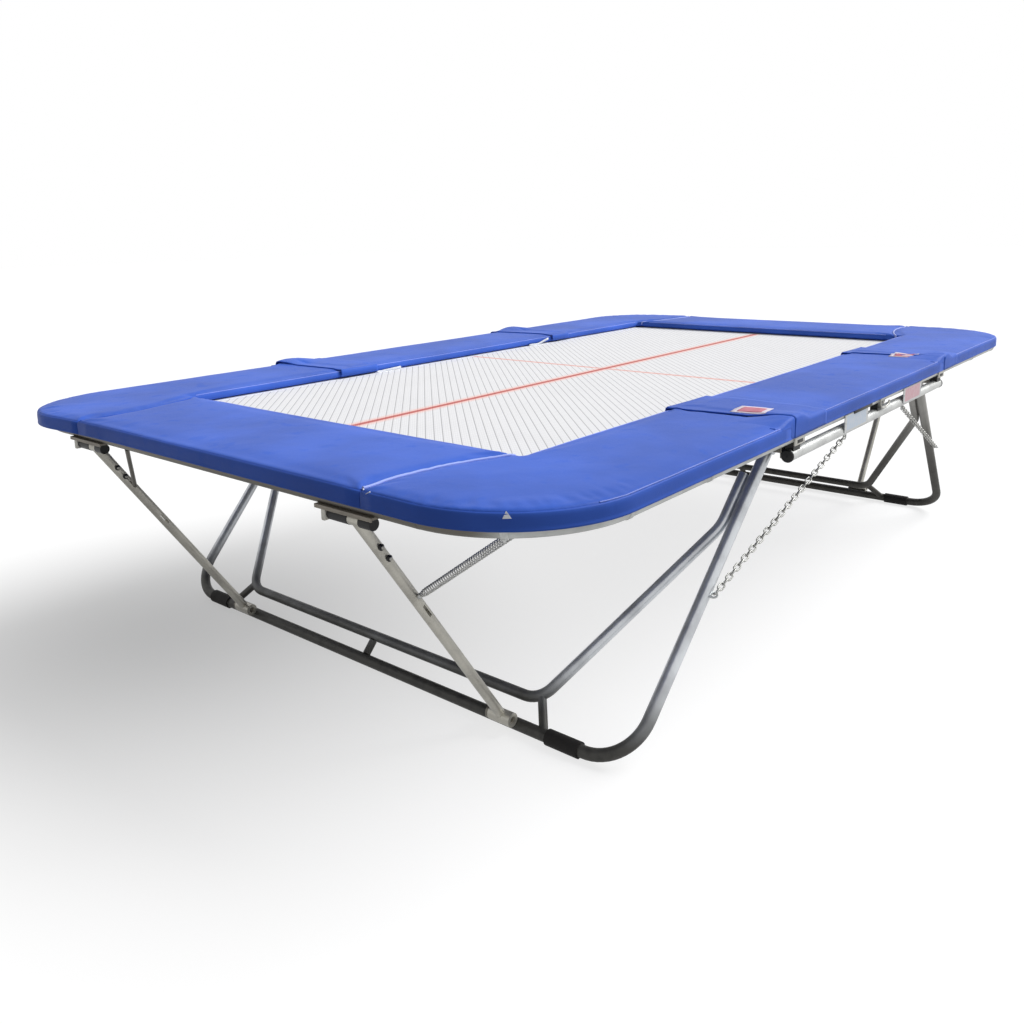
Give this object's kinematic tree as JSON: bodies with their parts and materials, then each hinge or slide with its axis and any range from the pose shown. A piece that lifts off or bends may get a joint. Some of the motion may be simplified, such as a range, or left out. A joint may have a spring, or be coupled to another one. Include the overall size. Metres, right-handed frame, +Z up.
{
  "type": "trampoline",
  "caption": "Folding rectangular trampoline: padded tube frame in three sections, woven bed on springs, and folding legs with struts, chains and rubber feet.",
  "frame": {"origin": "on the floor, under the middle of the bed", "axes": "+X along the bed, +Y across the bed, +Z up"},
  "size_m": [4.57, 2.7, 0.999],
  "materials": {
    "zinc": "satin",
    "dark_steel": "satin",
    "spring": "satin",
    "plate": "satin",
    "black": "matte",
    "rubber": "matte",
    "webbing": "matte",
    "blue": "satin"
  },
  "bodies": {
    "middle_frame": {"middle_rail_front": "zinc", "middle_rail_back": "zinc", "side_tube_front": "zinc", "side_tube_back": "zinc", "side_tube_caps": "black", "side_blocks": "black", "web_plates": "plate", "leg_hinge_brackets": "zinc", "leg_hinge_pins": "dark_steel", "fold_hinge_pins": "dark_steel", "chain_anchors": "zinc", "middle_bed": "webbing", "middle_springs": "spring", "front_middle_pad": "blue", "back_middle_pad": "blue"},
    "left_end_frame": {"left_end_rail": "zinc", "left_strut_saddles": "zinc", "left_spring_eyes": "dark_steel", "left_bed": "webbing", "left_springs": "spring", "left_end_pad": "blue", "left_front_pad": "blue", "left_back_pad": "blue"},
    "left_leg_frame": {"left_leg_outer_tube": "zinc", "left_leg_inner_tube": "zinc", "left_leg_ties": "zinc", "left_foot_sleeves": "rubber", "left_strut_spindles": "dark_steel", "left_chain_eyes": "zinc"},
    "left_front_strut_arm": {"left_front_strut": "zinc", "left_front_strut_grips": "black", "left_front_strut_spring": "spring"},
    "left_front_chain_run": {"left_front_chain": "zinc"},
    "left_back_strut_arm": {"left_back_strut": "zinc", "left_back_strut_grips": "black", "left_back_strut_spring": "spring"},
    "left_back_chain_run": {"left_back_chain": "zinc"},
    "right_end_frame": {"right_end_rail": "zinc", "right_strut_saddles": "zinc", "right_spring_eyes": "dark_steel", "right_bed": "webbing", "right_springs": "spring", "right_end_pad": "blue", "right_front_pad": "blue", "right_back_pad": "blue"},
    "right_leg_frame": {"right_leg_outer_tube": "zinc", "right_leg_inner_tube": "zinc", "right_leg_ties": "zinc", "right_foot_sleeves": "rubber", "right_strut_spindles": "dark_steel", "right_chain_eyes": "zinc"},
    "right_front_strut_arm": {"right_front_strut": "zinc", "right_front_strut_grips": "black", "right_front_strut_spring": "spring"},
    "right_front_chain_run": {"right_front_chain": "zinc"},
    "right_back_strut_arm": {"right_back_strut": "zinc", "right_back_strut_grips": "black", "right_back_strut_spring": "spring"},
    "right_back_chain_run": {"right_back_chain": "zinc"}
  },
  "joints": [
    {"name": "left_end_fold", "type": "hinge", "parent": "middle_frame", "child": "left_end_frame", "pos_m": [-0.89, 0, 0.988], "axis": [0, 1, 0], "range_deg": [0, 175]},
    {"name": "left_leg_fold", "type": "hinge", "parent": "middle_frame", "child": "left_leg_frame", "pos_m": [-0.858, 0, 0.872], "axis": [0, -1, 0], "range_deg": [0, 133]},
    {"name": "left_front_strut_swing", "type": "hinge", "parent": "left_leg_frame", "child": "left_front_strut_arm", "pos_m": [-1.68556, -0.722, 0.05646], "axis": [0, 1, 0], "range_deg": [0, 78], "deforming": ["left_front_strut_spring"]},
    {"name": "left_front_chain_swing", "type": "hinge", "parent": "middle_frame", "child": "left_front_chain_run", "pos_m": [-0.349, -1.324, 0.8275], "axis": [0, -1, 0], "range_deg": [0, 67], "deforming": ["left_front_chain"]},
    {"name": "left_back_strut_swing", "type": "hinge", "parent": "left_leg_frame", "child": "left_back_strut_arm", "pos_m": [-1.68556, 0.722, 0.05646], "axis": [0, 1, 0], "range_deg": [0, 78], "deforming": ["left_back_strut_spring"]},
    {"name": "left_back_chain_swing", "type": "hinge", "parent": "middle_frame", "child": "left_back_chain_run", "pos_m": [-0.349, 1.324, 0.8275], "axis": [0, -1, 0], "range_deg": [0, 67], "deforming": ["left_back_chain"]},
    {"name": "right_end_fold", "type": "hinge", "parent": "middle_frame", "child": "right_end_frame", "pos_m": [0.89, 0, 0.988], "axis": [0, -1, 0], "range_deg": [0, 148]},
    {"name": "right_leg_fold", "type": "hinge", "parent": "middle_frame", "child": "right_leg_frame", "pos_m": [0.858, 0, 0.872], "axis": [0, 1, 0], "range_deg": [0, 120]},
    {"name": "right_front_strut_swing", "type": "hinge", "parent": "right_leg_frame", "child": "right_front_strut_arm", "pos_m": [1.68556, -0.722, 0.05646], "axis": [0, -1, 0], "range_deg": [0, 78], "deforming": ["right_front_strut_spring"]},
    {"name": "right_front_chain_swing", "type": "hinge", "parent": "middle_frame", "child": "right_front_chain_run", "pos_m": [0.349, -1.324, 0.8275], "axis": [0, 1, 0], "range_deg": [0, 67], "deforming": ["right_front_chain"]},
    {"name": "right_back_strut_swing", "type": "hinge", "parent": "right_leg_frame", "child": "right_back_strut_arm", "pos_m": [1.68556, 0.722, 0.05646], "axis": [0, -1, 0], "range_deg": [0, 78], "deforming": ["right_back_strut_spring"]},
    {"name": "right_back_chain_swing", "type": "hinge", "parent": "middle_frame", "child": "right_back_chain_run", "pos_m": [0.349, 1.324, 0.8275], "axis": [0, 1, 0], "range_deg": [0, 67], "deforming": ["right_back_chain"]}
  ],
  "couplings": [
    {"joint": "left_front_strut_swing", "follows": "left_leg_fold", "ratio": 0.58271},
    {"joint": "left_front_chain_swing", "follows": "left_leg_fold", "ratio": 0.5},
    {"joint": "left_back_strut_swing", "follows": "left_leg_fold", "ratio": 0.58271},
    {"joint": "left_back_chain_swing", "follows": "left_leg_fold", "ratio": 0.5},
    {"joint": "right_front_strut_swing", "follows": "right_leg_fold", "ratio": 0.64583},
    {"joint": "right_front_chain_swing", "follows": "right_leg_fold", "ratio": 0.5},
    {"joint": "right_back_strut_swing", "follows": "right_leg_fold", "ratio": 0.64583},
    {"joint": "right_back_chain_swing", "follows": "right_leg_fold", "ratio": 0.5}
  ]
}
